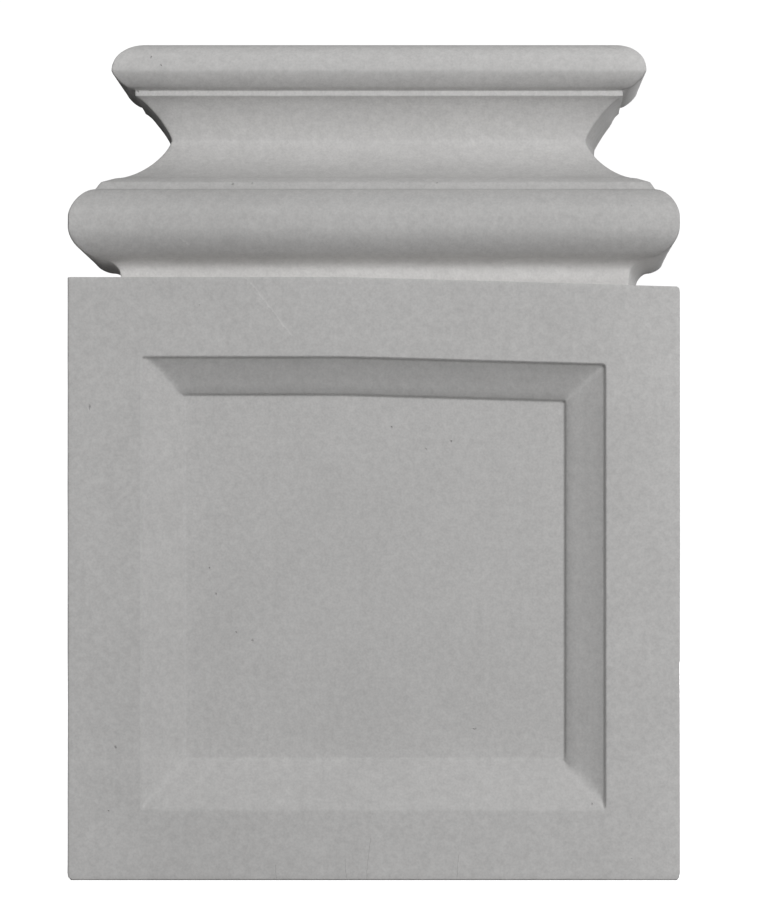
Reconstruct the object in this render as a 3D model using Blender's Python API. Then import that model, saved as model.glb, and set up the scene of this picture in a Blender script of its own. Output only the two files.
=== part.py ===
"""Base of a wall pilaster: a block with a sunk panel, and above it the mouldings that carry the shaft.

The piece is cast whole. It stands on its underside with its flat back to the wall and faces -Y.
The mouldings run along the front and return square along both sides to the back.
"""
import math

import bmesh
import bpy

# The block
BLOCK_WIDTH = 0.300
BLOCK_DEPTH = 0.075
BLOCK_HEIGHT = 0.2955
FALL_START = -0.016  # the top is level up to here, then falls towards the right
TOP_FALL = 0.0047  # how much lower the top lies at the right end
ARRIS = 0.0009  # width taken off each side of an outer edge

# The sunk panel, measured on the face of the block
PANEL_SIDE_MARGIN = 0.0366
PANEL_BOTTOM_MARGIN = 0.0345
PANEL_TOP_MARGIN = 0.0392
PANEL_DEPTH = 0.0105
SIDE_SLOPE = 0.0200  # widths of the slopes that lead down to the floor
TOP_SLOPE = 0.0186
BOTTOM_SLOPE = 0.0242
PANEL_EDGE = 0.0011  # width of the softened edges, on each side of the edge

# The mouldings: heights one above the other, and insets from the faces of the block
NECK_HEIGHT = 0.0043
NECK_INSET = 0.0234
NECK_SLOPE = 0.0008  # how far the neck comes forward over its height
NECK_HOLLOW_HEIGHT = 0.0060  # hollow that leads from the neck out under the large roll
NECK_HOLLOW_WIDTH = 0.0070
LARGE_ROLL_UNDERCUT = 0.0148
LARGE_ROLL_FLAT = 0.0044
LARGE_ROLL_SHOULDER = 0.0151
LOWER_FILLET_INSET = 0.0114
LOWER_FILLET_HEIGHT = 0.0040
LOWER_FILLET_SLOPE = 0.0024
SCOTIA_FOOT_HEIGHT = 0.0030  # straight slope between the lower fillet and the scotia's hollow
SCOTIA_FOOT_WIDTH = 0.0065
SCOTIA_LOWER_HEIGHT = 0.0230
SCOTIA_INSET = 0.0445
SCOTIA_UPPER_HEIGHT = 0.0191
UPPER_FILLET_INSET = 0.0275
UPPER_FILLET_HEIGHT = 0.0026
FILLET_HOLLOW_HEIGHT = 0.0006  # small hollow between the upper fillet and the small roll
FILLET_HOLLOW_WIDTH = 0.0022
SMALL_ROLL_UNDERCUT = 0.0076
SMALL_ROLL_INSET = 0.0169
SMALL_ROLL_SHOULDER = 0.0160
TOP_INSET = 0.0355
LEAN = 0.028  # sideways drift to the right for each unit of height above the large roll's flat

# How full each rounded quarter is: 2 is a true ellipse, 1 a straight slope
NECK_HOLLOW_FULLNESS = 1.7
FILLET_HOLLOW_FULLNESS = 2.0
LARGE_UNDERCUT_FULLNESS = 2.0
LARGE_SHOULDER_FULLNESS = 1.65
SCOTIA_LOWER_FULLNESS = 1.45
SCOTIA_UPPER_FULLNESS = 1.3
SMALL_UNDERCUT_FULLNESS = 1.4
SMALL_SHOULDER_FULLNESS = 2.0

HOLLOW_STEPS = 5
CURVE_STEPS = 12

PLASTER_GREY = (0.80, 0.79, 0.78, 1.0)
PLASTER_ROUGHNESS = 0.85


def clear_scene():
    for thing in list(bpy.data.objects):
        bpy.data.objects.remove(thing, do_unlink=True)


def fall_at(x):
    """How far the block's top has dropped at x."""
    return TOP_FALL * max(0.0, x - FALL_START) / (BLOCK_WIDTH / 2 - FALL_START)


def quarter(start, end, fullness, steps, upright_first):
    """Points after start on a rounded quarter that ends at end, each an inset and a height."""
    points = []
    for step in range(1, steps + 1):
        angle = math.pi / 2 * step / steps
        quick = math.sin(angle) ** (2 / fullness)
        slow = 1 - max(0.0, math.cos(angle)) ** (2 / fullness)
        across = slow if upright_first else quick
        up = quick if upright_first else slow
        inset = start[0] + (end[0] - start[0]) * across
        height = start[1] + (end[1] - start[1]) * up
        points.append((inset, height))
    return points


def moulding_profile():
    """The mouldings from the top of the neck upwards, each point an inset and a height."""
    neck_top = NECK_INSET - NECK_SLOPE
    fillet_top = LOWER_FILLET_INSET + LOWER_FILLET_SLOPE
    points = [(neck_top, BLOCK_HEIGHT + NECK_HEIGHT)]

    def curve(inset, rise, fullness, steps, upright_first):
        end = (inset, points[-1][1] + rise)
        points.extend(quarter(points[-1], end, fullness, steps, upright_first))

    def straight(inset, rise):
        points.append((inset, points[-1][1] + rise))

    curve(neck_top - NECK_HOLLOW_WIDTH, NECK_HOLLOW_HEIGHT, NECK_HOLLOW_FULLNESS, HOLLOW_STEPS, True)
    curve(0.0, LARGE_ROLL_UNDERCUT, LARGE_UNDERCUT_FULLNESS, CURVE_STEPS, False)
    straight(0.0, LARGE_ROLL_FLAT)
    curve(LOWER_FILLET_INSET, LARGE_ROLL_SHOULDER, LARGE_SHOULDER_FULLNESS, CURVE_STEPS, True)
    straight(fillet_top, LOWER_FILLET_HEIGHT)
    straight(fillet_top + SCOTIA_FOOT_WIDTH, SCOTIA_FOOT_HEIGHT)
    curve(SCOTIA_INSET, SCOTIA_LOWER_HEIGHT, SCOTIA_LOWER_FULLNESS, CURVE_STEPS, False)
    curve(UPPER_FILLET_INSET, SCOTIA_UPPER_HEIGHT, SCOTIA_UPPER_FULLNESS, CURVE_STEPS, True)
    straight(UPPER_FILLET_INSET, UPPER_FILLET_HEIGHT)
    curve(UPPER_FILLET_INSET - FILLET_HOLLOW_WIDTH, FILLET_HOLLOW_HEIGHT, FILLET_HOLLOW_FULLNESS,
          HOLLOW_STEPS, True)
    curve(SMALL_ROLL_INSET, SMALL_ROLL_UNDERCUT, SMALL_UNDERCUT_FULLNESS, CURVE_STEPS, False)
    curve(TOP_INSET, SMALL_ROLL_SHOULDER, SMALL_SHOULDER_FULLNESS, CURVE_STEPS, True)
    return points


def lean_at(height):
    """Sideways drift of the mouldings at a height."""
    roll_foot = BLOCK_HEIGHT + NECK_HEIGHT + NECK_HOLLOW_HEIGHT
    flat_top = roll_foot + LARGE_ROLL_UNDERCUT + LARGE_ROLL_FLAT
    return LEAN * max(0.0, height - flat_top)


def plan_ring(mesh, inset, height, falls):
    """Corners round the piece at one height: front left to right, then back right to left."""
    shift = lean_at(height)
    left = inset - BLOCK_WIDTH / 2 + shift
    right = BLOCK_WIDTH / 2 - inset + shift
    front = inset - BLOCK_DEPTH / 2
    back = BLOCK_DEPTH / 2
    corners = [(left, front + ARRIS), (left + ARRIS, front), (FALL_START, front),
               (right - ARRIS, front), (right, front + ARRIS),
               (right, back), (FALL_START, back), (left, back)]
    return [mesh.verts.new((x, y, height - (fall_at(x) if falls else 0.0))) for x, y in corners]


def panel_loop(mesh, down, offset, y):
    """Six corners of the panel's outline, along its foot to the right and back along its head.

    The outline lies the share down of the way from mouth to floor, and offset further in.
    """
    half = BLOCK_WIDTH / 2 - PANEL_SIDE_MARGIN - SIDE_SLOPE * down - offset
    bottom = PANEL_BOTTOM_MARGIN + BOTTOM_SLOPE * down + offset
    head = BLOCK_HEIGHT - PANEL_TOP_MARGIN - TOP_SLOPE * down - offset
    places = [(-half, bottom), (FALL_START, bottom), (half, bottom),
              (half, head - fall_at(half)), (FALL_START, head), (-half, head)]
    return [mesh.verts.new((x, y, z)) for x, z in places]


def join_loops(mesh, first, second, skipped):
    """Faces between two loops of corners, leaving out the sides numbered in skipped."""
    count = len(first)
    for side in range(count):
        if side in skipped:
            continue
        following = (side + 1) % count
        mesh.faces.new((first[side], first[following], second[following], second[side]))


def block_front(mesh, foot, ledge):
    """The face of the block with its sunk panel."""
    face = -BLOCK_DEPTH / 2
    softened = PANEL_EDGE / SIDE_SLOPE
    below = [foot[1], foot[2], foot[3], ledge[3], ledge[2], ledge[1]]
    for down, offset in ((0, -PANEL_EDGE), (softened, 0), (1 - softened, 0), (1, PANEL_EDGE)):
        above = panel_loop(mesh, down, offset, face + PANEL_DEPTH * down)
        join_loops(mesh, below, above, ())
        below = above
    mesh.faces.new(below)


def pilaster_base():
    """The whole casting as one closed body."""
    mesh = bmesh.new()
    underside = plan_ring(mesh, ARRIS, 0.0, False)
    foot = plan_ring(mesh, 0.0, ARRIS, False)
    head = plan_ring(mesh, 0.0, BLOCK_HEIGHT - ARRIS, True)
    mesh.faces.new(underside)
    join_loops(mesh, underside, foot, ())
    block_front(mesh, foot, head)
    join_loops(mesh, foot, head, (1, 2))
    below = head
    for inset in (ARRIS, NECK_INSET):
        above = plan_ring(mesh, inset, BLOCK_HEIGHT, True)
        join_loops(mesh, below, above, ())
        below = above
    for inset, height in moulding_profile():
        above = plan_ring(mesh, inset, height, False)
        join_loops(mesh, below, above, ())
        below = above
    mesh.faces.new(below)
    bmesh.ops.remove_doubles(mesh, verts=mesh.verts, dist=1e-7)
    bmesh.ops.triangulate(mesh, faces=mesh.faces)
    bmesh.ops.recalc_face_normals(mesh, faces=mesh.faces)
    return mesh


def plaster_material():
    material = bpy.data.materials.new("cast_plaster")
    material.use_nodes = True
    shader = material.node_tree.nodes["Principled BSDF"]
    shader.inputs["Base Color"].default_value = PLASTER_GREY
    shader.inputs["Roughness"].default_value = PLASTER_ROUGHNESS
    return material


def add_object(name, mesh, material):
    data = bpy.data.meshes.new(name)
    mesh.to_mesh(data)
    mesh.free()
    data.materials.append(material)
    thing = bpy.data.objects.new(name, data)
    bpy.context.scene.collection.objects.link(thing)


clear_scene()
add_object("pilaster_base", pilaster_base(), plaster_material())
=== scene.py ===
import math

import bmesh
import bpy
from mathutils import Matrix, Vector


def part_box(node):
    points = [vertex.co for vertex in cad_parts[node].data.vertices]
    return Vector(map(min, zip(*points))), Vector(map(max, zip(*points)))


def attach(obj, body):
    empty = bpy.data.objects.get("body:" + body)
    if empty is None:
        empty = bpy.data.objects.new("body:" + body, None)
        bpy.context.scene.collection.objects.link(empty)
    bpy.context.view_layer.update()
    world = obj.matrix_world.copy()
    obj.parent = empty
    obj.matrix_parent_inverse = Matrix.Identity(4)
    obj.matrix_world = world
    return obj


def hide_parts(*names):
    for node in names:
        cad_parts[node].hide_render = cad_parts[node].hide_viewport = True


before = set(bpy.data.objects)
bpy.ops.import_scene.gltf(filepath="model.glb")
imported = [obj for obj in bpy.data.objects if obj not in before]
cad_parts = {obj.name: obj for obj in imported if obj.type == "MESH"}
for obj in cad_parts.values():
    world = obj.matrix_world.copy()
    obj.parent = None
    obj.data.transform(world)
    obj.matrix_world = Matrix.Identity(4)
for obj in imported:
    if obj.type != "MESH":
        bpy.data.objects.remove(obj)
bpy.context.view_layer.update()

# The view. The lens stands level and square to the face of the block, a little to the right of its
# middle and below it, so that the undersides of the mouldings show. The picture is 758 by 916.
EYE_X = 0.0325
EYE_HEIGHT = 0.1617
EYE_DISTANCE = 1.125  # from the face of the block
PICTURE_HEIGHT = 0.4481  # what the picture takes in at the face
PICTURE_MIDDLE_X = 0.0026
PICTURE_MIDDLE_HEIGHT = 0.2067
FILM_SIZE = 36.0

foot_corner, head_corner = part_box("pilaster_base")
lens = bpy.data.cameras.new("lens")
lens.sensor_width = FILM_SIZE
lens.lens = FILM_SIZE * EYE_DISTANCE / PICTURE_HEIGHT
lens.shift_x = (PICTURE_MIDDLE_X - EYE_X) / PICTURE_HEIGHT
lens.shift_y = (PICTURE_MIDDLE_HEIGHT - EYE_HEIGHT) / PICTURE_HEIGHT
eye = bpy.data.objects.new("eye", lens)
eye.location = (EYE_X, foot_corner.y - EYE_DISTANCE, EYE_HEIGHT)
eye.rotation_euler = (math.pi / 2, 0, 0)
bpy.context.scene.collection.objects.link(eye)
bpy.context.scene.camera = eye
bpy.context.scene.view_settings.view_transform = "Standard"

# The studio. The piece stands on a white floor in a white room. One soft sheet of light stands a little
# right of the camera, a weak one high above it and one behind the piece, for views of the back. Floor and
# walls are seen white, but throw hardly any light on the piece, so its undersides and sides stay dark.
WHITE = (1.0, 1.0, 1.0, 1.0)
FLOOR_SIZE = 12.0
FLOOR_WHITE = (0.93, 0.93, 0.93, 1.0)
FLOOR_SHINE = 0.93
FLOOR_ROUGHNESS = 0.9
FLOOR_DIM = (0.04, 0.04, 0.04, 1.0)
WALL_GLOW = 0.12
BACKGROUND_WHITE = 1.05
LIGHT_DISTANCE = 2.2
LIGHT_SIZE = 0.7
# Each light's degrees to the right of the front and up, and its power.
LIGHTS = (("front_light", 20, 16, 23.4), ("high_light", 20, 50, 2.9), ("back_light", 160, 5, 20.0))


def soft_light(name, right, up, power):
    """A square sheet of light, aimed at the middle of the piece."""
    sheet = bpy.data.lights.new(name, "AREA")
    sheet.shape = "SQUARE"
    sheet.size = LIGHT_SIZE
    sheet.energy = power
    aim = Vector((0, foot_corner.y, head_corner.z / 2))
    turn, rise = math.radians(right), math.radians(up)
    out = Vector((math.sin(turn) * math.cos(rise), -math.cos(turn) * math.cos(rise), math.sin(rise)))
    holder = bpy.data.objects.new(name, sheet)
    holder.location = aim + out * LIGHT_DISTANCE
    holder.rotation_euler = (-out).to_track_quat("-Z", "Y").to_euler()
    bpy.context.scene.collection.objects.link(holder)


for light in LIGHTS:
    soft_light(*light)


def seen_as(tree, seen, thrown, surface):
    """Shows one surface to the camera, and lets another one light the piece."""
    path = tree.nodes.new("ShaderNodeLightPath")
    either = tree.nodes.new("ShaderNodeMixShader")
    tree.links.new(path.outputs["Is Camera Ray"], either.inputs[0])
    tree.links.new(thrown.outputs[0], either.inputs[1])
    tree.links.new(seen.outputs[0], either.inputs[2])
    tree.links.new(either.outputs[0], surface)


room = bpy.data.worlds.new("room")
room.use_nodes = True
walls = room.node_tree
walls.nodes.clear()
seen = walls.nodes.new("ShaderNodeBackground")
seen.inputs["Color"].default_value = WHITE
seen.inputs["Strength"].default_value = BACKGROUND_WHITE
glow = walls.nodes.new("ShaderNodeBackground")
glow.inputs["Color"].default_value = WHITE
glow.inputs["Strength"].default_value = WALL_GLOW
seen_as(walls, seen, glow, walls.nodes.new("ShaderNodeOutputWorld").inputs["Surface"])
bpy.context.scene.world = room

floor_paint = bpy.data.materials.new("white_floor")
floor_paint.use_nodes = True
paint = floor_paint.node_tree.nodes["Principled BSDF"]
paint.inputs["Base Color"].default_value = FLOOR_WHITE
paint.inputs["Roughness"].default_value = FLOOR_ROUGHNESS
paint.inputs["Emission Color"].default_value = WHITE
paint.inputs["Emission Strength"].default_value = FLOOR_SHINE
dim = floor_paint.node_tree.nodes.new("ShaderNodeBsdfDiffuse")
dim.inputs["Color"].default_value = FLOOR_DIM
seen_as(floor_paint.node_tree, paint, dim, floor_paint.node_tree.nodes["Material Output"].inputs["Surface"])

floor_mesh = bpy.data.meshes.new("floor")
half_floor = FLOOR_SIZE / 2
floor_mesh.from_pydata([(-half_floor, -half_floor, 0), (half_floor, -half_floor, 0),
                        (half_floor, half_floor, 0), (-half_floor, half_floor, 0)], [], [(0, 1, 2, 3)])
floor_mesh.materials.append(floor_paint)
floor = bpy.data.objects.new("floor", floor_mesh)
bpy.context.scene.collection.objects.link(floor)

# The casting. The whole base is one piece of plaster, cast in a mould: a block with a sunk panel, and
# above it a neck, a large roll, a hollow between two fillets and a small roll. The mouldings run along
# the front and return square along both sides, and the back is left flat for the wall.
WIDTH = head_corner.x - foot_corner.x
DEPTH = head_corner.y - foot_corner.y
HEIGHT = head_corner.z
BLOCK_HEIGHT = 0.2955
FOOT_ARRIS = 0.0010
HEAD_ARRIS = 0.0006
CORNER_ROUND = 0.0011  # of the upright edges, from the foot to the top
FALL_START = -0.016  # the top of the block is level up to here, then falls towards the right
TOP_FALL = 0.0047
LEAN = 0.028  # sideways drift of the mouldings for each unit of height

PANEL_SIDE_MARGIN = 0.0366
PANEL_BOTTOM_MARGIN = 0.0345
PANEL_TOP_MARGIN = 0.0392
PANEL_DEPTH = 0.0105
SIDE_SLOPE = 0.0200
TOP_SLOPE = 0.0186
BOTTOM_SLOPE = 0.0242
MITRE_SOFTNESS = 0.09  # share of a slope over which the panel's corners are rounded
# How deep the slopes lie at shares of the way from mouth to floor. At the top and on the right a sharp
# step stands at each end, on the left a slight one. At the bottom the mouth is rounded over.
SHARP_SLOPE = ((-0.10, 0.0), (-0.025, 0.0), (0.0, 0.025), (0.045, 0.175), (0.07, 0.20), (0.5, 0.53),
               (0.925, 0.835), (0.945, 0.86), (0.985, 0.985), (1.01, 1.0), (1.10, 1.0))
SLIGHT_SLOPE = ((-0.10, 0.0), (-0.025, 0.0), (0.0, 0.03), (0.045, 0.115), (0.07, 0.145), (0.5, 0.52),
                (0.925, 0.885), (0.945, 0.905), (0.985, 0.975), (1.01, 1.0), (1.10, 1.0))
ROUNDED_SLOPE = ((-0.10, 0.0), (-0.04, 0.0), (0.05, 0.035), (0.16, 0.12), (0.5, 0.47),
                 (0.93, 0.90), (0.95, 0.92), (0.985, 0.975), (1.01, 1.0), (1.10, 1.0))
SLOPE_LINES = (-0.05, -0.025, 0.0, 0.022, 0.045, 0.07, 0.10, 0.16, 0.24, 0.34, 0.45, 0.56, 0.67, 0.78,
               0.87, 0.925, 0.945, 0.965, 0.985, 1.01, 1.04)

NECK_INSET = 0.0234
NECK_HEIGHT = 0.0043
NECK_SLOPE = 0.0008  # how far the neck comes forward over its height
NECK_HOLLOW_WIDTH = 0.0070
NECK_HOLLOW_HEIGHT = 0.0060
LARGE_ROLL_UNDERCUT = 0.0148
LARGE_ROLL_FLAT = 0.0044
LARGE_ROLL_SHOULDER = 0.0151
LOWER_FILLET_INSET = 0.0114
LOWER_FILLET_HEIGHT = 0.0040
LOWER_FILLET_SLOPE = 0.0024
SCOTIA_FOOT_WIDTH = 0.0065
SCOTIA_FOOT_HEIGHT = 0.0030
SCOTIA_LOWER_HEIGHT = 0.0230
SCOTIA_INSET = 0.0445
SCOTIA_UPPER_HEIGHT = 0.0191
UPPER_FILLET_INSET = 0.0275
UPPER_FILLET_HEIGHT = 0.0026
FILLET_HOLLOW_WIDTH = 0.0022
FILLET_HOLLOW_HEIGHT = 0.0006
SMALL_ROLL_UNDERCUT = 0.0076
SMALL_ROLL_INSET = 0.0169
TOP_INSET = 0.0355
FLAT_FOOT = BLOCK_HEIGHT + NECK_HEIGHT + NECK_HOLLOW_HEIGHT + LARGE_ROLL_UNDERCUT

# How full each rounded quarter is: 2 is a true ellipse, 1 a straight slope.
NECK_HOLLOW_FULLNESS = 1.7
LARGE_UNDERCUT_FULLNESS = 2.0
LARGE_SHOULDER_FULLNESS = 1.65
SCOTIA_LOWER_FULLNESS = 1.45
SCOTIA_UPPER_FULLNESS = 1.3
SMALL_UNDERCUT_FULLNESS = 1.4
ROUND = 2.0  # of the small roll's shoulder, the arris and the little hollow under the fillet

# Towards the wall the hollows of the returns are filled up: by height, the share of the inset at the wall.
RETURN_FILL = ((0.2955, 0.30), (0.3050, 0.36), (0.3100, 0.60), (0.3206, 0.70), (0.3300, 0.0), (0.3480, 0.0),
               (0.3600, 0.06), (0.3720, 0.15), (0.3810, 0.16), (0.3870, 0.10), (0.3905, 0.04), (0.3950, 0.0),
               (0.4160, 0.0))
RIGHT_FILL = 1.0
LEFT_FILL = 0.4

PLAIN_SPACING = 0.0024  # of the mesh's lines on plain stretches
RETURN_LINES = 16
CORNER_LINES = 5
FOOT_LINES = 4
QUARTER_STEPS = 120
FINE_GAP = 0.0001  # between the points of the mouldings' outline while its edges are softened
EDGE_SOFTNESS = 0.00035  # how far the mould has softened the edges of the mouldings
LONGEST_STEP = 0.0026  # of the mesh along the mouldings' outline
SHARPEST_TURN = math.radians(16)
MIDDLE_BLEND = 0.01  # either side of the middle the left fill gives way to the right one
WEAR_CORE = 0.6  # share of a worn corner's reach over which it is worn fully
LINE_GAP = 0.0001  # lines of the mesh are told apart by this distance
SLOPE_START = -0.1  # shares down a slope between which its shape is given
SLOPE_END = 1.1
MITRE_BLEND = 0.03  # share of a slope over which its kind of steps gives way to the next one's at a mitre
UNEVENNESS = 0.00025  # of the hand-made surface
UNEVENNESS_SEED = 7.0
WAVE_SCALE = 24.0  # its waves a metre, roughly
FLAT_MARGIN = 0.006  # near the back, top and underside the unevenness fades out
SHARP_ANGLE = math.radians(50)  # edges keener than this are shaded sharp


def spaced(start, end, step):
    """Even places from start up to end, without end itself."""
    count = max(1, round(abs(end - start) / step))
    return [start + (end - start) * k / count for k in range(count)]


def face_lines(low, mouth_low, low_slope, mouth_high, high_slope, high):
    """Places over the face of the block, close together along the edges of the panel's slopes."""
    lower = [mouth_low + low_slope * share for share in SLOPE_LINES]
    upper = [mouth_high - high_slope * share for share in reversed(SLOPE_LINES)]
    return (spaced(low, lower[0], PLAIN_SPACING) + lower
            + spaced(lower[-1], upper[0], PLAIN_SPACING)[1:] + upper
            + spaced(upper[-1], high, PLAIN_SPACING)[1:] + [high])


def quarter(start, end, fullness, upright_first):
    """Closely set points after start on a rounded quarter, each an inset and a height."""
    points = []
    for step in range(1, QUARTER_STEPS + 1):
        angle = math.pi / 2 * step / QUARTER_STEPS
        quick = math.sin(angle) ** (2 / fullness)
        slow = 1 - max(0.0, math.cos(angle)) ** (2 / fullness)
        across = slow if upright_first else quick
        up = quick if upright_first else slow
        points.append((start[0] + (end[0] - start[0]) * across, start[1] + (end[1] - start[1]) * up))
    return points


def straight(start, end):
    """Closely set points after start on a straight line to end."""
    count = max(1, round(math.dist(start, end) / (FINE_GAP / 2)))
    return [(start[0] + (end[0] - start[0]) * k / count, start[1] + (end[1] - start[1]) * k / count)
            for k in range(1, count + 1)]


def mouldings_outline():
    """The outline of the mouldings, from the top arris of the block up."""
    points = [(0.0, BLOCK_HEIGHT - HEAD_ARRIS)]

    def curve(inset, rise, fullness, upright_first):
        points.extend(quarter(points[-1], (inset, points[-1][1] + rise), fullness, upright_first))

    def line(inset, rise):
        points.extend(straight(points[-1], (inset, points[-1][1] + rise)))

    curve(HEAD_ARRIS, HEAD_ARRIS, ROUND, True)
    neck_top = NECK_INSET - NECK_SLOPE
    fillet_top = LOWER_FILLET_INSET + LOWER_FILLET_SLOPE
    line(NECK_INSET, 0)
    line(neck_top, NECK_HEIGHT)
    curve(neck_top - NECK_HOLLOW_WIDTH, NECK_HOLLOW_HEIGHT, NECK_HOLLOW_FULLNESS, True)
    curve(0.0, LARGE_ROLL_UNDERCUT, LARGE_UNDERCUT_FULLNESS, False)
    line(0.0, LARGE_ROLL_FLAT)
    curve(LOWER_FILLET_INSET, LARGE_ROLL_SHOULDER, LARGE_SHOULDER_FULLNESS, True)
    line(fillet_top, LOWER_FILLET_HEIGHT)
    line(fillet_top + SCOTIA_FOOT_WIDTH, SCOTIA_FOOT_HEIGHT)
    curve(SCOTIA_INSET, SCOTIA_LOWER_HEIGHT, SCOTIA_LOWER_FULLNESS, False)
    curve(UPPER_FILLET_INSET, SCOTIA_UPPER_HEIGHT, SCOTIA_UPPER_FULLNESS, True)
    line(UPPER_FILLET_INSET, UPPER_FILLET_HEIGHT)
    curve(UPPER_FILLET_INSET - FILLET_HOLLOW_WIDTH, FILLET_HOLLOW_HEIGHT, ROUND, True)
    curve(SMALL_ROLL_INSET, SMALL_ROLL_UNDERCUT, SMALL_UNDERCUT_FULLNESS, False)
    curve(TOP_INSET, HEIGHT - points[-1][1], ROUND, True)
    return points


def evenly_along(points, gap):
    """The same line with its points gap apart, ends kept."""
    travelled = [0.0]
    for before, after in zip(points, points[1:]):
        travelled.append(travelled[-1] + math.dist(before, after))
    count = round(travelled[-1] / gap)
    even = []
    place = 0
    for step in range(count + 1):
        wanted = travelled[-1] * step / count
        while place < len(points) - 2 and travelled[place + 1] < wanted:
            place += 1
        share = (wanted - travelled[place]) / (travelled[place + 1] - travelled[place])
        even.append(tuple(a + (b - a) * share for a, b in zip(points[place], points[place + 1])))
    return even


def softened(points, gap, softness):
    """The line with its sharp corners worn soft, ends kept."""
    reach = round(3 * softness / gap)
    weights = [math.exp(-(k * gap / softness) ** 2 / 2) for k in range(-reach, reach + 1)]
    soft = []
    for middle in range(len(points)):
        room_left = min(reach, middle, len(points) - 1 - middle)
        near = range(-room_left, room_left + 1)
        total = sum(weights[reach + k] for k in near)
        soft.append(tuple(sum(weights[reach + k] * points[middle + k][axis] for k in near) / total
                          for axis in (0, 1)))
    return soft


def thinned(points, longest, sharpest):
    """The line with only the points that its bends need."""
    kept = [points[0]]
    length = turned = 0.0
    for before, here, after in zip(points, points[1:], points[2:]):
        first = math.atan2(here[1] - before[1], here[0] - before[0])
        second = math.atan2(after[1] - here[1], after[0] - here[0])
        length += math.dist(before, here)
        turned += abs(math.remainder(second - first, math.tau))
        if length / longest + turned / sharpest >= 1:
            kept.append(here)
            length = turned = 0.0
    return kept + [points[-1]]


def section_rows():
    """The section from the underside to the top, each point an inset and a height."""
    turns = [math.pi / 2 * k / FOOT_LINES for k in range(FOOT_LINES)]
    foot = [(FOOT_ARRIS * (1 - math.sin(turn)), FOOT_ARRIS * (1 - math.cos(turn))) for turn in turns]
    face = face_lines(FOOT_ARRIS, PANEL_BOTTOM_MARGIN, BOTTOM_SLOPE,
                      BLOCK_HEIGHT - PANEL_TOP_MARGIN, TOP_SLOPE, BLOCK_HEIGHT - HEAD_ARRIS)
    mouldings = softened(evenly_along(mouldings_outline(), FINE_GAP), FINE_GAP, EDGE_SOFTNESS)
    mouldings = thinned(mouldings, LONGEST_STEP, SHARPEST_TURN)
    return foot + [(0.0, height) for height in face[:-1]] + mouldings


def plan_columns():
    """The outline in plan, from back left round the front to back right.

    Each point has its place on the faces of the block, and how it moves for each unit of inset.
    """
    half = WIDTH / 2
    front = -DEPTH / 2
    run = DEPTH - CORNER_ROUND
    lines = face_lines(-half, PANEL_SIDE_MARGIN - half, SIDE_SLOPE, half - PANEL_SIDE_MARGIN,
                       SIDE_SLOPE, half)
    lines = [x for x in lines if abs(x) < half - CORNER_ROUND - 4 * LINE_GAP]
    columns = []
    for k in range(RETURN_LINES):
        share = k / RETURN_LINES
        columns.append(((-half, DEPTH / 2 - run * share), (1, share)))
    for k in range(CORNER_LINES + 1):
        turn = math.pi / 2 * k / CORNER_LINES
        columns.append(((-half + CORNER_ROUND * (1 - math.cos(turn)),
                         front + CORNER_ROUND * (1 - math.sin(turn))), (1, 1)))
    for x in lines:
        columns.append(((x, front), (-x / (half - CORNER_ROUND), 1)))
    return columns + [((-x, y), (-across, along)) for (x, y), (across, along) in reversed(columns)
                      if x < CORNER_ROUND - half + LINE_GAP]


def guide_line(name, points):
    """A line of points for the sweep to read."""
    data = bpy.data.meshes.new(name)
    data.from_pydata(points, [(k, k + 1) for k in range(len(points) - 1)], [])
    guide = bpy.data.objects.new(name, data)
    bpy.context.scene.collection.objects.link(guide)
    return guide


rows = section_rows()
columns = plan_columns()
section_guide = guide_line("section_guide", [(inset, 0, height) for inset, height in rows])
plan_guide = guide_line("plan_guide", [(x, y, 0) for (x, y), way in columns])
ways = plan_guide.data.attributes.new("way_in", "FLOAT_VECTOR", "POINT")
for item, (place, way) in zip(ways.data, columns):
    item.vector = (way[0], way[1], 0)

# Places where the casting is knocked or worn back: a point on the cut, the way it faces, and its reach.
WORN_BACK = (
    ((0.1483, -0.0375, 0.0000), (0.80, -0.05, -0.60), 0.012),  # right foot corner
    ((-0.1496, -0.0375, 0.0020), (-0.70, -0.25, -0.66), 0.014),  # left foot corner
    ((-0.1492, -0.0375, 0.3260), (-0.86, -0.50, 0.02), 0.012),  # left end of the large roll
    ((0.1491, -0.0375, 0.2900), (0.62, -0.25, 0.74), 0.005),  # right head corner of the block
)


def put(tree, kind, feeds=(), **settings):
    """A node of a tree. Its sockets take numbers, or what other nodes give out."""
    made = tree.nodes.new(kind)
    for name, value in settings.items():
        setattr(made, name, value)
    for socket, feed in dict(feeds).items():
        if isinstance(feed, bpy.types.NodeSocket):
            tree.links.new(feed, made.inputs[socket])
        else:
            made.inputs[socket].default_value = feed
    return made


def reckon(tree, operation, *terms):
    return put(tree, "ShaderNodeMath", enumerate(terms), operation=operation).outputs[0]


def reckon_vector(tree, operation, *terms):
    made = put(tree, "ShaderNodeVectorMath", enumerate(terms), operation=operation)
    return made.outputs["Value" if operation == "DOT_PRODUCT" else "Vector"]


def soft_lesser(tree, first, second, softness):
    """The lesser of two numbers, rounded over where they are nearly the same."""
    apart = reckon(tree, "ABSOLUTE", reckon(tree, "SUBTRACT", first, second))
    overlap = reckon(tree, "MAXIMUM", reckon(tree, "SUBTRACT", softness, apart), 0.0)
    squared = reckon(tree, "MULTIPLY", overlap, overlap)
    rounding = reckon(tree, "DIVIDE", squared, reckon(tree, "MULTIPLY", softness, 4.0))
    return reckon(tree, "SUBTRACT", reckon(tree, "MINIMUM", first, second), rounding)


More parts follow.
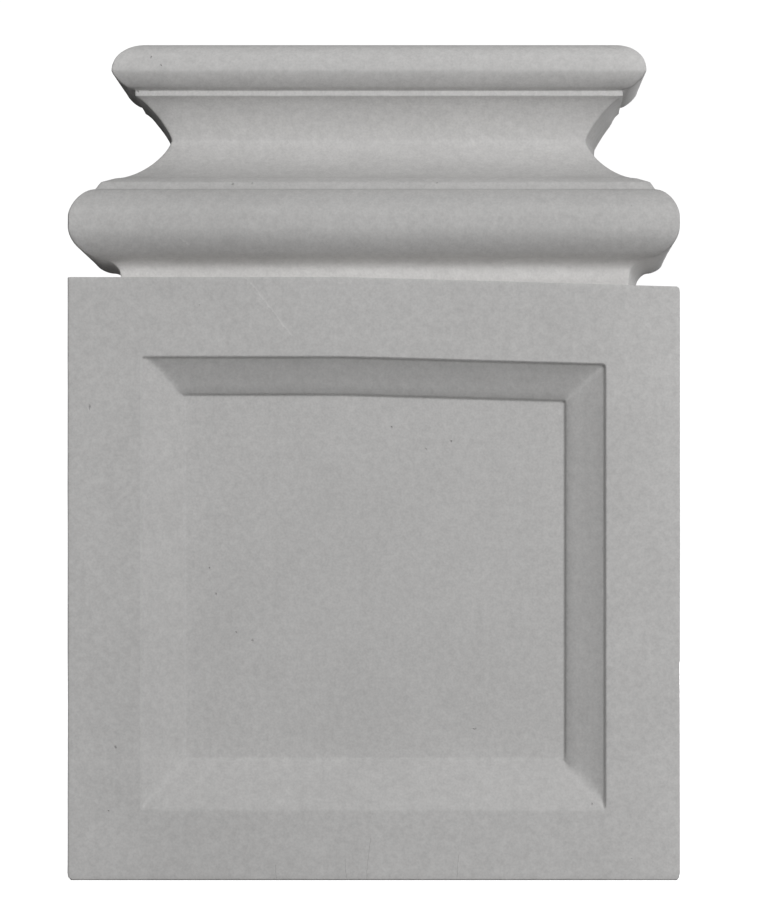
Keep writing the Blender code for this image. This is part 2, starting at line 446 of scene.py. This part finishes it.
def bent(tree, value, low, high, shape):
    """A number read off a bent line, whose points are given between low and high."""
    across = put(tree, "ShaderNodeMapRange", {"Value": value, "From Min": low, "From Max": high})
    bend = put(tree, "ShaderNodeFloatCurve", {"Value": across.outputs["Result"]})
    line = bend.mapping.curves[0]
    while len(line.points) < len(shape):
        line.points.new(0.5, 0.5)
    for point, (place, amount) in zip(line.points, shape):
        point.location = ((place - low) / (high - low), amount)
        point.handle_type = "AUTO_CLAMPED"
    bend.mapping.update()
    return bend.outputs[0]


def sweep_tree():
    """Sweeps the section round the plan, sinks the panel, and gives the surface its hand-made unevenness."""
    tree = bpy.data.node_groups.new("cast_run", "GeometryNodeTree")
    tree.interface.new_socket("Geometry", in_out="OUTPUT", socket_type="NodeSocketGeometry")
    inputs = {}
    for name, kind, value in SWEEP_INPUTS:
        socket = tree.interface.new_socket(name, in_out="INPUT", socket_type="NodeSocket" + kind)
        inputs[name] = (socket, value)
    given = tree.nodes.new("NodeGroupInput").outputs

    section = put(tree, "GeometryNodeObjectInfo", {"Object": given["Section"]}).outputs["Geometry"]
    plan = put(tree, "GeometryNodeObjectInfo", {"Object": given["Plan"]}).outputs["Geometry"]
    row_count = put(tree, "GeometryNodeAttributeDomainSize", {"Geometry": section}).outputs["Point Count"]
    column_count = put(tree, "GeometryNodeAttributeDomainSize", {"Geometry": plan}).outputs["Point Count"]
    last_row = reckon(tree, "SUBTRACT", row_count, 1.0)
    last_column = reckon(tree, "SUBTRACT", column_count, 1.0)
    sheet = put(tree, "GeometryNodeMeshGrid", {"Size X": last_column, "Size Y": last_row,
                                               "Vertices X": column_count, "Vertices Y": row_count})
    spot = put(tree, "ShaderNodeSeparateXYZ", {0: put(tree, "GeometryNodeInputPosition").outputs[0]})
    column = reckon(tree, "ROUND", reckon(tree, "ADD", spot.outputs["X"],
                                          reckon(tree, "DIVIDE", last_column, 2.0)))
    row = reckon(tree, "ROUND", reckon(tree, "ADD", spot.outputs["Y"],
                                       reckon(tree, "DIVIDE", last_row, 2.0)))
    place = put(tree, "GeometryNodeInputPosition").outputs[0]
    way_in = put(tree, "GeometryNodeInputNamedAttribute", {"Name": "way_in"}, data_type="FLOAT_VECTOR")
    here = put(tree, "GeometryNodeSampleIndex", {"Geometry": plan, "Value": place, "Index": column},
               data_type="FLOAT_VECTOR").outputs[0]
    inward = put(tree, "GeometryNodeSampleIndex",
                 {"Geometry": plan, "Value": way_in.outputs[0], "Index": column},
                 data_type="FLOAT_VECTOR").outputs[0]
    step = put(tree, "GeometryNodeSampleIndex", {"Geometry": section, "Value": place, "Index": row},
               data_type="FLOAT_VECTOR").outputs[0]
    stepped = put(tree, "ShaderNodeSeparateXYZ", {0: step})
    inset, height = stepped.outputs["X"], stepped.outputs["Z"]
    start = put(tree, "ShaderNodeSeparateXYZ", {0: here}).outputs
    way = put(tree, "ShaderNodeSeparateXYZ", {0: inward}).outputs
    to_wall = reckon(tree, "SUBTRACT", 1.0, way["Y"])
    side = put(tree, "ShaderNodeMapRange", {"Value": start["X"], "From Min": -MIDDLE_BLEND,
                                            "From Max": MIDDLE_BLEND, "To Min": given["Left fill"],
                                            "To Max": given["Right fill"]})
    filled = reckon(tree, "MULTIPLY", reckon(tree, "MULTIPLY", to_wall, side.outputs["Result"]),
                    bent(tree, height, BLOCK_HEIGHT, HEIGHT, RETURN_FILL))
    kept = reckon(tree, "MULTIPLY", inset, reckon(tree, "SUBTRACT", 1.0, filled))
    x = reckon(tree, "ADD", start["X"], reckon(tree, "MULTIPLY", way["X"], kept))
    y = reckon(tree, "ADD", start["Y"], reckon(tree, "MULTIPLY", way["Y"], inset))

    half_mouth = reckon(tree, "SUBTRACT", reckon(tree, "DIVIDE", given["Width"], 2.0),
                        given["Panel side margin"])
    across = reckon(tree, "DIVIDE", reckon(tree, "SUBTRACT", half_mouth, reckon(tree, "ABSOLUTE", x)),
                    given["Side slope"])
    mouth_head = reckon(tree, "SUBTRACT", given["Block height"], given["Panel top margin"])
    down = reckon(tree, "DIVIDE", reckon(tree, "SUBTRACT", mouth_head, height), given["Top slope"])
    up = reckon(tree, "DIVIDE", reckon(tree, "SUBTRACT", height, given["Panel bottom margin"]),
                given["Bottom slope"])
    upper = soft_lesser(tree, across, down, given["Mitre softness"])
    share = soft_lesser(tree, upper, up, given["Mitre softness"])
    at_bottom = put(tree, "ShaderNodeMapRange", {"Value": reckon(tree, "SUBTRACT", upper, up),
                                                 "From Min": -MITRE_BLEND, "From Max": MITRE_BLEND})
    at_side = put(tree, "ShaderNodeMapRange", {"Value": reckon(tree, "SUBTRACT", down, across),
                                               "From Min": -MITRE_BLEND, "From Max": MITRE_BLEND}
                  ).outputs["Result"]
    at_left = reckon(tree, "MULTIPLY", at_side, reckon(tree, "LESS_THAN", x, 0.0))
    sharp, slight, rounded = (bent(tree, share, SLOPE_START, SLOPE_END, shape)
                              for shape in (SHARP_SLOPE, SLIGHT_SLOPE, ROUNDED_SLOPE))
    sunk = put(tree, "ShaderNodeMix", {"Factor": at_left, "A": sharp, "B": slight}).outputs[0]
    sunk = put(tree, "ShaderNodeMix", {"Factor": at_bottom.outputs["Result"], "A": sunk,
                                       "B": rounded}).outputs[0]
    y = reckon(tree, "ADD", y, reckon(tree, "MULTIPLY", sunk, given["Panel depth"]))

    fallen = put(tree, "ShaderNodeMapRange", {"Value": x, "From Min": given["Fall start"],
                                              "From Max": reckon(tree, "DIVIDE", given["Width"], 2.0),
                                              "To Max": given["Top fall"]}).outputs["Result"]
    floor_foot = reckon(tree, "ADD", given["Panel bottom margin"], given["Bottom slope"])
    floor_head = reckon(tree, "SUBTRACT", mouth_head, given["Top slope"])
    growing = put(tree, "ShaderNodeMapRange", {"Value": height, "From Min": floor_foot,
                                               "From Max": floor_head}).outputs["Result"]
    neck_head = reckon(tree, "ADD", given["Block height"], given["Neck height"])
    fading = put(tree, "ShaderNodeMapRange", {"Value": height, "From Min": given["Block height"],
                                              "From Max": neck_head, "To Min": 1.0, "To Max": 0.0}
                 ).outputs["Result"]
    falling = reckon(tree, "MULTIPLY", fallen, reckon(tree, "MINIMUM", growing, fading))
    z = reckon(tree, "SUBTRACT", height, falling)
    above = reckon(tree, "MAXIMUM", reckon(tree, "SUBTRACT", height, given["Lean start"]), 0.0)
    x = reckon(tree, "ADD", x, reckon(tree, "MULTIPLY", above, given["Lean"]))
    whole = put(tree, "ShaderNodeCombineXYZ", {"X": x, "Y": y, "Z": z}).outputs[0]
    shape = put(tree, "GeometryNodeSetPosition", {"Geometry": sheet.outputs["Mesh"],
                                                  "Position": whole}).outputs[0]

    spot = put(tree, "GeometryNodeInputPosition").outputs[0]
    worn = spot
    for point, facing, reach in WORN_BACK:
        facing = Vector(facing).normalized()
        gone = reckon_vector(tree, "SUBTRACT", worn, point)
        proud = reckon(tree, "MAXIMUM", reckon_vector(tree, "DOT_PRODUCT", gone, facing), 0.0)
        far = put(tree, "ShaderNodeVectorMath", {0: gone}, operation="LENGTH").outputs["Value"]
        near = put(tree, "ShaderNodeMapRange", {"Value": far, "From Min": reach,
                                                "From Max": reach * WEAR_CORE})
        cut = reckon_vector(tree, "SCALE", facing)
        tree.links.new(reckon(tree, "MULTIPLY", proud, near.outputs["Result"]), cut.node.inputs["Scale"])
        worn = reckon_vector(tree, "SUBTRACT", worn, cut)
    shape = put(tree, "GeometryNodeSetPosition", {"Geometry": shape, "Position": worn}).outputs[0]

    spot = put(tree, "GeometryNodeInputPosition").outputs[0]
    waves = put(tree, "ShaderNodeTexNoise", {"Vector": spot, "W": given["Seed"], "Scale": WAVE_SCALE,
                                             "Detail": 2.0}, noise_dimensions="4D").outputs[0]
    apart = put(tree, "ShaderNodeSeparateXYZ", {0: spot})
    from_back = reckon(tree, "SUBTRACT", reckon(tree, "DIVIDE", given["Depth"], 2.0), apart.outputs["Y"])
    from_top = reckon(tree, "SUBTRACT", given["Height"], apart.outputs["Z"])
    nearest = reckon(tree, "MINIMUM", from_back, reckon(tree, "MINIMUM", from_top, apart.outputs["Z"]))
    free = put(tree, "ShaderNodeMapRange", {"Value": nearest, "From Max": FLAT_MARGIN}).outputs["Result"]
    amount = reckon(tree, "MULTIPLY", reckon(tree, "MULTIPLY", waves, free), given["Unevenness"])
    inwards = reckon_vector(tree, "SCALE", put(tree, "GeometryNodeInputNormal").outputs[0])
    tree.links.new(reckon(tree, "MULTIPLY", amount, -1.0), inwards.node.inputs["Scale"])
    shape = put(tree, "GeometryNodeSetPosition", {"Geometry": shape, "Offset": inwards}).outputs[0]
    shape = put(tree, "GeometryNodeRealizeInstances", {"Geometry": shape}).outputs[0]
    shape = put(tree, "GeometryNodeSetMaterial", {"Geometry": shape, "Material": given["Plaster"]}).outputs[0]
    put(tree, "NodeGroupOutput", {"Geometry": shape})
    return tree, inputs


plaster = bpy.data.materials.new("dry_plaster")
SWEEP_INPUTS = (
    ("Section", "Object", section_guide), ("Plan", "Object", plan_guide), ("Plaster", "Material", plaster),
    ("Width", "Float", WIDTH), ("Depth", "Float", DEPTH), ("Height", "Float", HEIGHT),
    ("Block height", "Float", BLOCK_HEIGHT), ("Neck height", "Float", NECK_HEIGHT),
    ("Panel side margin", "Float", PANEL_SIDE_MARGIN), ("Panel top margin", "Float", PANEL_TOP_MARGIN),
    ("Panel bottom margin", "Float", PANEL_BOTTOM_MARGIN), ("Panel depth", "Float", PANEL_DEPTH),
    ("Side slope", "Float", SIDE_SLOPE), ("Top slope", "Float", TOP_SLOPE),
    ("Bottom slope", "Float", BOTTOM_SLOPE), ("Mitre softness", "Float", MITRE_SOFTNESS),
    ("Fall start", "Float", FALL_START), ("Top fall", "Float", TOP_FALL),
    ("Lean", "Float", LEAN), ("Lean start", "Float", FLAT_FOOT + LARGE_ROLL_FLAT),
    ("Left fill", "Float", LEFT_FILL), ("Right fill", "Float", RIGHT_FILL),
    ("Unevenness", "Float", UNEVENNESS), ("Seed", "Float", UNEVENNESS_SEED),
)

run_tree, run_inputs = sweep_tree()
mould = bpy.data.objects.new("mould", bpy.data.meshes.new("mould"))
bpy.context.scene.collection.objects.link(mould)
sweep = mould.modifiers.new("sweep", "NODES")
sweep.node_group = run_tree
for socket, value in run_inputs.values():
    sweep[socket.identifier] = value
bpy.context.view_layer.update()
swept = bpy.data.meshes.new_from_object(mould.evaluated_get(bpy.context.evaluated_depsgraph_get()))
mould.modifiers.clear()
for guide in (mould, section_guide, plan_guide):
    bpy.data.objects.remove(guide, do_unlink=True)


def close_casting(data):
    """Closes the swept sheet with a flat back, top and underside, and divides it along the mitres."""
    mesh = bmesh.new()
    mesh.from_mesh(data)
    mesh.verts.ensure_lookup_table()
    deep, tall = len(columns), len(rows)
    grid = [[mesh.verts[c * tall + r] for r in range(tall)] for c in range(deep)]
    mesh.faces.new([line[0] for line in grid][::-1])
    mesh.faces.new([line[-1] for line in grid])
    ends = [face for face in mesh.faces if len(face.verts) > 4]
    for r in range(tall - 1):
        mesh.faces.new((grid[0][r], grid[0][r + 1], grid[-1][r + 1], grid[-1][r]))
    half_mouth = WIDTH / 2 - PANEL_SIDE_MARGIN
    for c in range(deep - 1):
        for r in range(tall - 1):
            corners = [(c, r), (c + 1, r), (c + 1, r + 1), (c, r + 1)]
            on_mitre = [k for k in corners if lies_on_mitre(*k, half_mouth)]
            if len(on_mitre) == 2:
                first, second = (grid[a][b] for a, b in on_mitre)
                shared = [face for face in first.link_faces if second in face.verts and len(face.verts) == 4]
                if shared:
                    bmesh.utils.face_split(shared[0], first, second)
    bmesh.ops.triangulate(mesh, faces=ends)
    bmesh.ops.recalc_face_normals(mesh, faces=mesh.faces)
    mesh.to_mesh(data)
    mesh.free()


def lies_on_mitre(column, row, half_mouth):
    """Whether a point of the sheet lies on the line where two slopes of the panel meet."""
    (x, y), way = columns[column]
    inset, height = rows[row]
    across = (half_mouth - abs(x)) / SIDE_SLOPE
    up = (height - PANEL_BOTTOM_MARGIN) / BOTTOM_SLOPE
    down = (BLOCK_HEIGHT - PANEL_TOP_MARGIN - height) / TOP_SLOPE
    return y < 0.001 - DEPTH / 2 and 0 <= across <= 1.05 and abs(across - min(up, down)) < 0.001


close_casting(swept)
swept.name = "pilaster_casting"
swept.shade_smooth()
swept.set_sharp_from_angle(angle=SHARP_ANGLE)
casting = bpy.data.objects.new("pilaster_casting", swept)
bpy.context.scene.collection.objects.link(casting)

# The plaster's finish. It is matt and nearly white, faintly clouded and finely grained, with air holes and
# with the lengthwise streaks that the template left when the mouldings were run. Light and shade are painted
# into its colour by height, towards the sides, along the edges, on the panel's slopes, in the neck's crease
# and in the marks; dirt lies along the panel's steps, and the rubbed places have stayed paler.
PLASTER_PALE = (0.818, 0.810, 0.801, 1.0)
PLASTER_DARK = (0.784, 0.776, 0.767, 1.0)
PLASTER_ROUGHNESS = 0.86
PLASTER_GLOSS = 0.3
# How many times a metre each pattern of the plaster repeats, roughly.
CLOUD_SCALE = 16.0
VEIL_SCALE = 90.0
MOTTLE_SCALE = 300.0
GRAIN_SCALE = 900.0
STREAK_SCALES = (6.0, 6.0, 800.0)  # fine across the run of the mouldings and long along it
PATTERN_ROUGHNESS = 0.55  # how strongly the finer detail of a pattern counts
PATTERN_LOW = 0.3  # nearly all of a pattern lies between these
PATTERN_HIGH = 0.7
CLOUD_EDGES = (0.35, 0.65)  # where the clouds are darkest and palest
BUBBLE_SCALE = 95.0
BUBBLE_CHANCE = 0.72  # share of the places that stay without a bubble
BUBBLE_SIZE = 0.055  # of the largest bubble, as a share of a place
# How much each pattern changes the tone and the roughness, either way.
MOTTLE_TONE = 0.050
GRAIN_TONE = 0.045
VEIL_TONE = 0.015
MOTTLE_ROUGHNESS = 0.05
GRAIN_ROUGHNESS = 0.04
# Heights of the relief in metres. Air holes, bubbles and scratches go inwards.
MOTTLE_RELIEF = 0.00004
GRAIN_RELIEF = 0.00002
STREAK_RELIEF = 0.000012
HOLE_RELIEF = -0.0005
BUBBLE_RELIEF = -0.0003
SCRATCH_RELIEF = -0.0001

# Painted light and shade by height of the piece, each value beside a half: the neck and the upper scotia are
# painted paler as if lit more, and the ledges below the rolls greyer as if shaded.
PAINTED_LIGHT_BANDS = ((0.000, 0.465), (0.055, 0.465), (0.075, 0.445), (0.294, 0.44), (0.2975, 0.54), (0.3005, 0.56),
               (0.3035, 0.60), (0.306, 0.60), (0.309, 0.54), (0.312, 0.46), (0.317, 0.41), (0.322, 0.42),
               (0.327, 0.41), (0.331, 0.37), (0.3355, 0.33), (0.3395, 0.33), (0.3425, 0.37), (0.3445, 0.38),
               (0.347, 0.37), (0.349, 0.32), (0.353, 0.32), (0.358, 0.36), (0.364, 0.40), (0.370, 0.49),
               (0.375, 0.58), (0.380, 0.61), (0.388, 0.62), (0.395, 0.62), (0.398, 0.60), (0.401, 0.52),
               (0.404, 0.52), (0.408, 0.56), (0.412, 0.58), (0.416, 0.59))
SIDE_PAINTED_LIGHT = 0.055  # painted light: how much paler the front grows towards both sides, between these distances
SIDE_PAINTED_LIGHT_START = 0.108
SIDE_PAINTED_LIGHT_END = 0.145
# Painted highlight along keen edges, partly paler rubbed wear.
EDGE_HIGHLIGHT_AND_WEAR = 0.10
RUB_PALENESS = 0.12
MARK_PAINTED_SHADE = 0.10  # painted shade inside air holes, bubbles, scratches and cracks
EDGE_KEENNESS = (0.53, 0.62)  # where an edge's painted highlight and wear begin, and where they are strongest
SLOPE_PAINTED_SHADE = 0.04  # painted shade: how much greyer the slopes of the panel are
RIGHT_PAINTED_SHADE = 0.11  # and how much more painted shade on the slope on the right
HEAD_PAINTED_SHADE = 0.13  # and the painted shade at the head, though not on the sharp steps there
# How far a surface has turned from the front, to the left or down, where each of them starts and is full.
SLOPE_TURN = (-0.97, -0.91)
RIGHT_TURN = (-0.25, -0.42)
HEAD_TURN = (-0.20, -0.40)
STEP_TURN = (-0.60, -0.80)
STEP_DIRT_AND_SHADE = 0.10  # how much greyer the dirt and painted crease shade along the sharp steps are
CREASE_PAINTED_SHADE = 0.18  # and the painted shade in the crease at the neck's foot, where it meets the top of the block
CREASE_START = 0.00005  # heights above the block between which that painted shade lies
CREASE_HEIGHT = 0.0017
CREASE_FADING = 0.0008  # how much of that height it fades over
PANEL_ALLOWANCE = 0.001  # painted shade and dirt of the panel end this far outside its sides
FRONT_LIMIT = 0.012  # marks lie only in front of this depth
RAGGEDNESS = 0.0008  # how far the outlines of the marks wander
LEAST_RADIUS = 0.0001

# Air holes: the middle of each, and half its width and height.
AIR_HOLES = (
    (-0.1392, 0.2316, 0.0009, 0.0016), (-0.1265, 0.0648, 0.0008, 0.0013), (-0.1299, 0.0340, 0.0005, 0.0006),
    (0.1068, 0.0374, 0.0006, 0.0009), (-0.0816, 0.1528, 0.0005, 0.0007), (-0.0781, 0.1399, 0.0005, 0.0008),
    (-0.0604, 0.1172, 0.0008, 0.0009), (-0.0683, 0.1212, 0.0006, 0.0006), (0.0379, 0.2155, 0.0005, 0.0007),
    (0.0255, 0.2116, 0.0005, 0.0005), (0.0083, 0.2220, 0.0005, 0.0007), (0.0493, 0.0733, 0.0014, 0.0008),
    (-0.1113, 0.4069, 0.0006, 0.0006), (-0.1061, 0.4026, 0.0006, 0.0005), (-0.1189, 0.3913, 0.0006, 0.0004),
    (-0.1130, 0.3918, 0.0005, 0.0004), (-0.0704, 0.3429, 0.0010, 0.0005), (-0.0605, 0.3432, 0.0008, 0.0005),
    (0.0310, 0.3434, 0.0008, 0.0004),
)
# Long marks: where each starts and ends, and half its width. First scratches and hairline cracks.
SCRATCHES = (
    (0.1128, 0.4148, 0.1204, 0.4118, 0.0005), (-0.0018, 0.0203, -0.0037, 0.0012, 0.0003),
    (-0.0140, 0.0100, -0.0136, 0.0012, 0.0003), (-0.0483, 0.0076, -0.0479, 0.0008, 0.0003),
    (0.0413, 0.0125, 0.0407, 0.0017, 0.0003),
)
# Rubs, which have left the plaster paler.
RUBS = (
    (-0.0600, 0.2923, -0.0400, 0.2666, 0.0007), (-0.0630, 0.2949, -0.0615, 0.2935, 0.0006),
    (-0.0947, 0.3143, -0.0907, 0.3119, 0.0006),
)
# Dirt and painted crease shade along the two steps of the panel's slope on the right.
DIRT_AND_SHADE_LINES = ((0.1136, 0.0390, 0.1136, 0.2515, 0.0011), (0.0946, 0.0620, 0.0946, 0.2330, 0.0011))


def farness_from_holes(tree, spot, holes):
    """0 in the middle of the nearest hole, 1 at its rim and more outside it."""
    nearest = None
    for x, height, half_width, half_height in holes:
        gone = reckon_vector(tree, "SUBTRACT", spot, (x, 0, height))
        scaled = reckon_vector(tree, "MULTIPLY", gone, (1 / half_width, 0, 1 / half_height))
        far = put(tree, "ShaderNodeVectorMath", {0: scaled}, operation="LENGTH").outputs["Value"]
        nearest = reckon(tree, "MINIMUM", nearest, far) if nearest else far
    return nearest


def farness_from_lines(tree, spot, lines):
    """0 along the nearest line, 1 at its edges and more outside it."""
    nearest = None
    for start_x, start_height, end_x, end_height, half_width in lines:
        start = Vector((start_x, 0, start_height))
        run = Vector((end_x, 0, end_height)) - start
        gone = reckon_vector(tree, "SUBTRACT", spot, start)
        along = reckon_vector(tree, "DOT_PRODUCT", gone, run / run.length_squared)
        share = put(tree, "ShaderNodeClamp", {"Value": along}).outputs[0]
        passed = put(tree, "ShaderNodeVectorMath", {0: run, "Scale": share}, operation="SCALE").outputs[0]
        beside = reckon_vector(tree, "SUBTRACT", gone, passed)
        scaled = reckon_vector(tree, "MULTIPLY", beside, (1 / half_width, 0, 1 / half_width))
        far = put(tree, "ShaderNodeVectorMath", {0: scaled}, operation="LENGTH").outputs["Value"]
        nearest = reckon(tree, "MINIMUM", nearest, far) if nearest else far
    return nearest


def hollowed(tree, farness):
    """1 in the middle of a mark, smoothly down to 0 at its rim."""
    return put(tree, "ShaderNodeMapRange", {"Value": farness, "From Min": 1.0, "From Max": 0.0},
               interpolation_type="SMOOTHSTEP").outputs["Result"]


def spread(tree, value, low, high, lowest, highest):
    """A number brought from one range to another."""
    return put(tree, "ShaderNodeMapRange", {"Value": value, "From Min": low, "From Max": high,
                                            "To Min": lowest, "To Max": highest}).outputs["Result"]


def mottling(tree, spot, scale, detail):
    return put(tree, "ShaderNodeTexNoise", {"Vector": spot, "Scale": scale, "Detail": detail,
                                            "Roughness": PATTERN_ROUGHNESS}).outputs[0]


def varied(tree, level, swings):
    """A level that patterns raise and lower, each by so much."""
    for pattern, swing in swings:
        level = reckon(tree, "ADD", level, spread(tree, pattern, PATTERN_LOW, PATTERN_HIGH, -swing, swing))
    return level


def product(tree, *factors):
    """All the numbers multiplied."""
    whole = factors[0]
    for factor in factors[1:]:
        whole = reckon(tree, "MULTIPLY", whole, factor)
    return whole


plaster.use_nodes = True
finish = plaster.node_tree
skin = finish.nodes["Principled BSDF"]
skin.inputs["Specular IOR Level"].default_value = PLASTER_GLOSS
spot = put(finish, "ShaderNodeTexCoord").outputs["Object"]
apart = put(finish, "ShaderNodeSeparateXYZ", {0: spot}).outputs
from_middle = reckon(finish, "ABSOLUTE", apart["X"])
surface = put(finish, "ShaderNodeNewGeometry").outputs
facing = put(finish, "ShaderNodeSeparateXYZ", {0: surface["Normal"]}).outputs
clouds = mottling(finish, spot, CLOUD_SCALE, 3.0)
veil = mottling(finish, spot, VEIL_SCALE, 1.0)
mottle = mottling(finish, spot, MOTTLE_SCALE, 2.0)
grain = mottling(finish, spot, GRAIN_SCALE, 1.0)
streaks = mottling(finish, reckon_vector(finish, "MULTIPLY", spot, STREAK_SCALES), 1.0, 0.0)
on_run = spread(finish, apart["Z"], BLOCK_HEIGHT, BLOCK_HEIGHT + NECK_HEIGHT, 0.0, 1.0)

# Bubbles lie scattered everywhere, one in every few places of a random grid.
places = put(finish, "ShaderNodeTexVoronoi", {"Vector": spot, "Scale": BUBBLE_SCALE}).outputs
chance = put(finish, "ShaderNodeSeparateColor", {0: places["Color"]}).outputs[0]
radius = reckon(finish, "MAXIMUM", spread(finish, chance, BUBBLE_CHANCE, 1.0, 0.0, BUBBLE_SIZE), LEAST_RADIUS)
bubbles = hollowed(finish, reckon(finish, "DIVIDE", places["Distance"], radius))

# The single marks, with wandering outlines.
off = put(finish, "ShaderNodeCombineXYZ", {
    "X": spread(finish, mottle, 0.0, 1.0, -RAGGEDNESS, RAGGEDNESS),
    "Z": spread(finish, grain, 0.0, 1.0, -RAGGEDNESS, RAGGEDNESS)}).outputs[0]
ragged = reckon_vector(finish, "ADD", spot, off)
on_front = reckon(finish, "LESS_THAN", apart["Y"], FRONT_LIMIT)
holes = product(finish, hollowed(finish, farness_from_holes(finish, ragged, AIR_HOLES)), on_front)
scratches = product(finish, hollowed(finish, farness_from_lines(finish, ragged, SCRATCHES)), on_front)
rubs = product(finish, hollowed(finish, farness_from_lines(finish, ragged, RUBS)), on_front)
marks = reckon(finish, "MAXIMUM", reckon(finish, "MAXIMUM", holes, scratches), bubbles)
# Painted shade darkens air holes, bubbles, scratches and cracks.
shaded_marks = reckon(finish, "SUBTRACT", 1.0, product(finish, marks, MARK_PAINTED_SHADE))

# Painted shade on the panel's slopes, most on the right and at the head, and dirt with painted crease shade
# along its steps on the right.
in_panel = product(
    finish, reckon(finish, "LESS_THAN", from_middle, WIDTH / 2 - PANEL_SIDE_MARGIN + PANEL_ALLOWANCE),
    reckon(finish, "LESS_THAN", apart["Z"], BLOCK_HEIGHT - PANEL_TOP_MARGIN),
    reckon(finish, "LESS_THAN", apart["Y"], 0.0))
slope_shade_and_dirt = reckon(finish, "SUBTRACT", spread(finish, facing["Z"], *HEAD_TURN, 0.0, HEAD_PAINTED_SHADE),
              spread(finish, facing["Z"], *STEP_TURN, 0.0, HEAD_PAINTED_SHADE))
for more in (spread(finish, facing["Y"], *SLOPE_TURN, 0.0, SLOPE_PAINTED_SHADE),
             spread(finish, facing["X"], *RIGHT_TURN, 0.0, RIGHT_PAINTED_SHADE),
             product(finish, hollowed(finish, farness_from_lines(finish, ragged, DIRT_AND_SHADE_LINES)), STEP_DIRT_AND_SHADE)):
    slope_shade_and_dirt = reckon(finish, "ADD", slope_shade_and_dirt, more)
panel_shade_and_dirt = reckon(finish, "SUBTRACT", 1.0, product(finish, slope_shade_and_dirt, in_panel))

# Painted shade in the crease at the neck's foot, which falls to the right with the top of the block.
level = reckon(finish, "ADD", apart["Z"], spread(finish, apart["X"], FALL_START, WIDTH / 2, 0.0, TOP_FALL))
crease = product(
    finish, spread(finish, level, BLOCK_HEIGHT + CREASE_HEIGHT, BLOCK_HEIGHT + CREASE_HEIGHT - CREASE_FADING,
                   0.0, CREASE_PAINTED_SHADE),
    reckon(finish, "GREATER_THAN", level, BLOCK_HEIGHT + CREASE_START))
rubbed = reckon(finish, "ADD", product(finish, rubs, RUB_PALENESS), 1.0)
rubs_and_crease_shade = reckon(finish, "SUBTRACT", rubbed, crease)

# Painted light and shade by height.
painted_light_by_height = reckon(finish, "ADD", bent(finish, apart["Z"], 0.0, HEIGHT, PAINTED_LIGHT_BANDS), 0.5)
# Painted light, paler towards both sides of the front.
painted_side_light = spread(finish, from_middle, SIDE_PAINTED_LIGHT_START, SIDE_PAINTED_LIGHT_END, 1.0, 1.0 + SIDE_PAINTED_LIGHT)
# Painted highlight along keen edges, partly rubbed wear.
edges = spread(finish, surface["Pointiness"], *EDGE_KEENNESS, 1.0, 1.0 + EDGE_HIGHLIGHT_AND_WEAR)
fine = varied(finish, 1.0, ((mottle, MOTTLE_TONE), (grain, GRAIN_TONE), (veil, VEIL_TONE)))
shade = product(finish, painted_light_by_height, painted_side_light, edges, panel_shade_and_dirt, rubs_and_crease_shade, shaded_marks, fine)
tint = put(finish, "ShaderNodeMix", {"Factor": spread(finish, clouds, *CLOUD_EDGES, 0.0, 1.0),
                                     6: PLASTER_DARK, 7: PLASTER_PALE}, data_type="RGBA").outputs[2]
tone = put(finish, "ShaderNodeVectorMath", {0: tint, "Scale": shade}, operation="SCALE").outputs[0]
finish.links.new(tone, skin.inputs["Base Color"])
matt = varied(finish, PLASTER_ROUGHNESS, ((mottle, MOTTLE_ROUGHNESS), (grain, GRAIN_ROUGHNESS)))
finish.links.new(matt, skin.inputs["Roughness"])

relief = 0.0
for layer, height in ((mottle, MOTTLE_RELIEF), (grain, GRAIN_RELIEF),
                      (product(finish, streaks, on_run), STREAK_RELIEF), (holes, HOLE_RELIEF),
                      (bubbles, BUBBLE_RELIEF), (scratches, SCRATCH_RELIEF)):
    relief = reckon(finish, "ADD", relief, product(finish, layer, height))
raised = put(finish, "ShaderNodeBump", {"Height": relief, "Strength": 1.0, "Distance": 1.0})
finish.links.new(raised.outputs[0], skin.inputs["Normal"])

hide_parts("pilaster_base")
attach(casting, "root")
